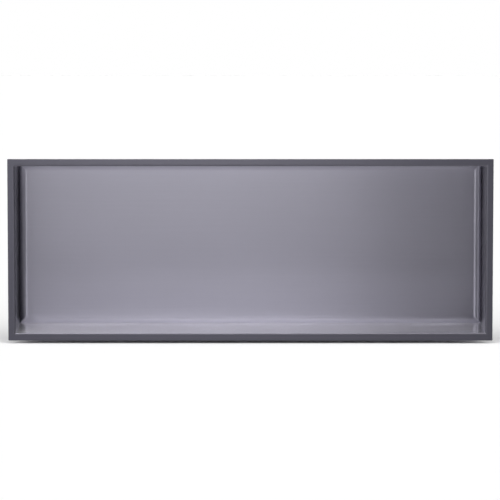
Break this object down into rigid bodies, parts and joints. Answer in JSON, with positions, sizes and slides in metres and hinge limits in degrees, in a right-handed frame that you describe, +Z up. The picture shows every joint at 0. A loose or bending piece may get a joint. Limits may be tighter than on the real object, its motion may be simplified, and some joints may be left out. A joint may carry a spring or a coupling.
{
  "type": "shower niche insert",
  "caption": "Shallow rectangular steel tray with a narrow flat flange, set into a tiled shower wall as a shelf recess.",
  "frame": {"origin": "middle of the niche's mouth, on the plane of the flange's back face, where it lies on the tiles", "axes": "+X to the right seen from the room, +Y into the wall, +Z up"},
  "size_m": [0.8, 0.1, 0.3],
  "materials": {
    "gunmetal_steel": "satin gunmetal coating over brushed stainless sheet, a shade darker on the flange"
  },
  "bodies": {
    "root": {"niche_tray": "gunmetal_steel"}
  },
  "joints": []
}
